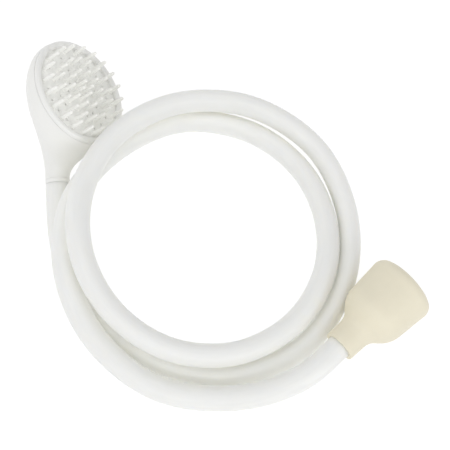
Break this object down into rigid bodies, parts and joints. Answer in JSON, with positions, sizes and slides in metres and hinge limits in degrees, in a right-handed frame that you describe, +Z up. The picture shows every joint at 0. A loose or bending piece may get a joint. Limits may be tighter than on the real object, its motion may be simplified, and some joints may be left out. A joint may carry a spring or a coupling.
{
  "type": "handheld bath sprayer",
  "caption": "Handheld pet bath sprayer: a nubbed spray handset that swivels on a coiled white hose with a push-on rubber tap adaptor.",
  "frame": {"origin": "on the surface that the part lies on, under the middle of the handset's box", "axes": "+Z up; +X the way the tap socket of the adaptor opens; +Y from the adaptor towards the handset"},
  "size_m": [0.1949, 0.277, 0.059],
  "materials": {
    "white_abs": "satin moulded ABS",
    "white_pvc": "smooth flexible PVC",
    "cream_rubber": "smooth moulded rubber",
    "seal_rubber": "black seal rubber"
  },
  "bodies": {
    "root": {"tap_adaptor": "cream_rubber", "hose_insert": "white_abs", "hose": "white_pvc", "swivel_tail": "white_abs", "tail_oring": "seal_rubber"},
    "handset": {"head_shell": "white_abs", "face_gasket": "seal_rubber", "face_plate": "white_abs", "bezel_ring": "white_abs"}
  },
  "joints": [
    {"name": "handset_swivel", "type": "hinge", "parent": "root", "child": "handset", "pos_m": [-0.03484, -0.02994, 0.0106], "axis": [-0.6331, -0.7665, -0.1077], "range_deg": [0, 90]}
  ]
}
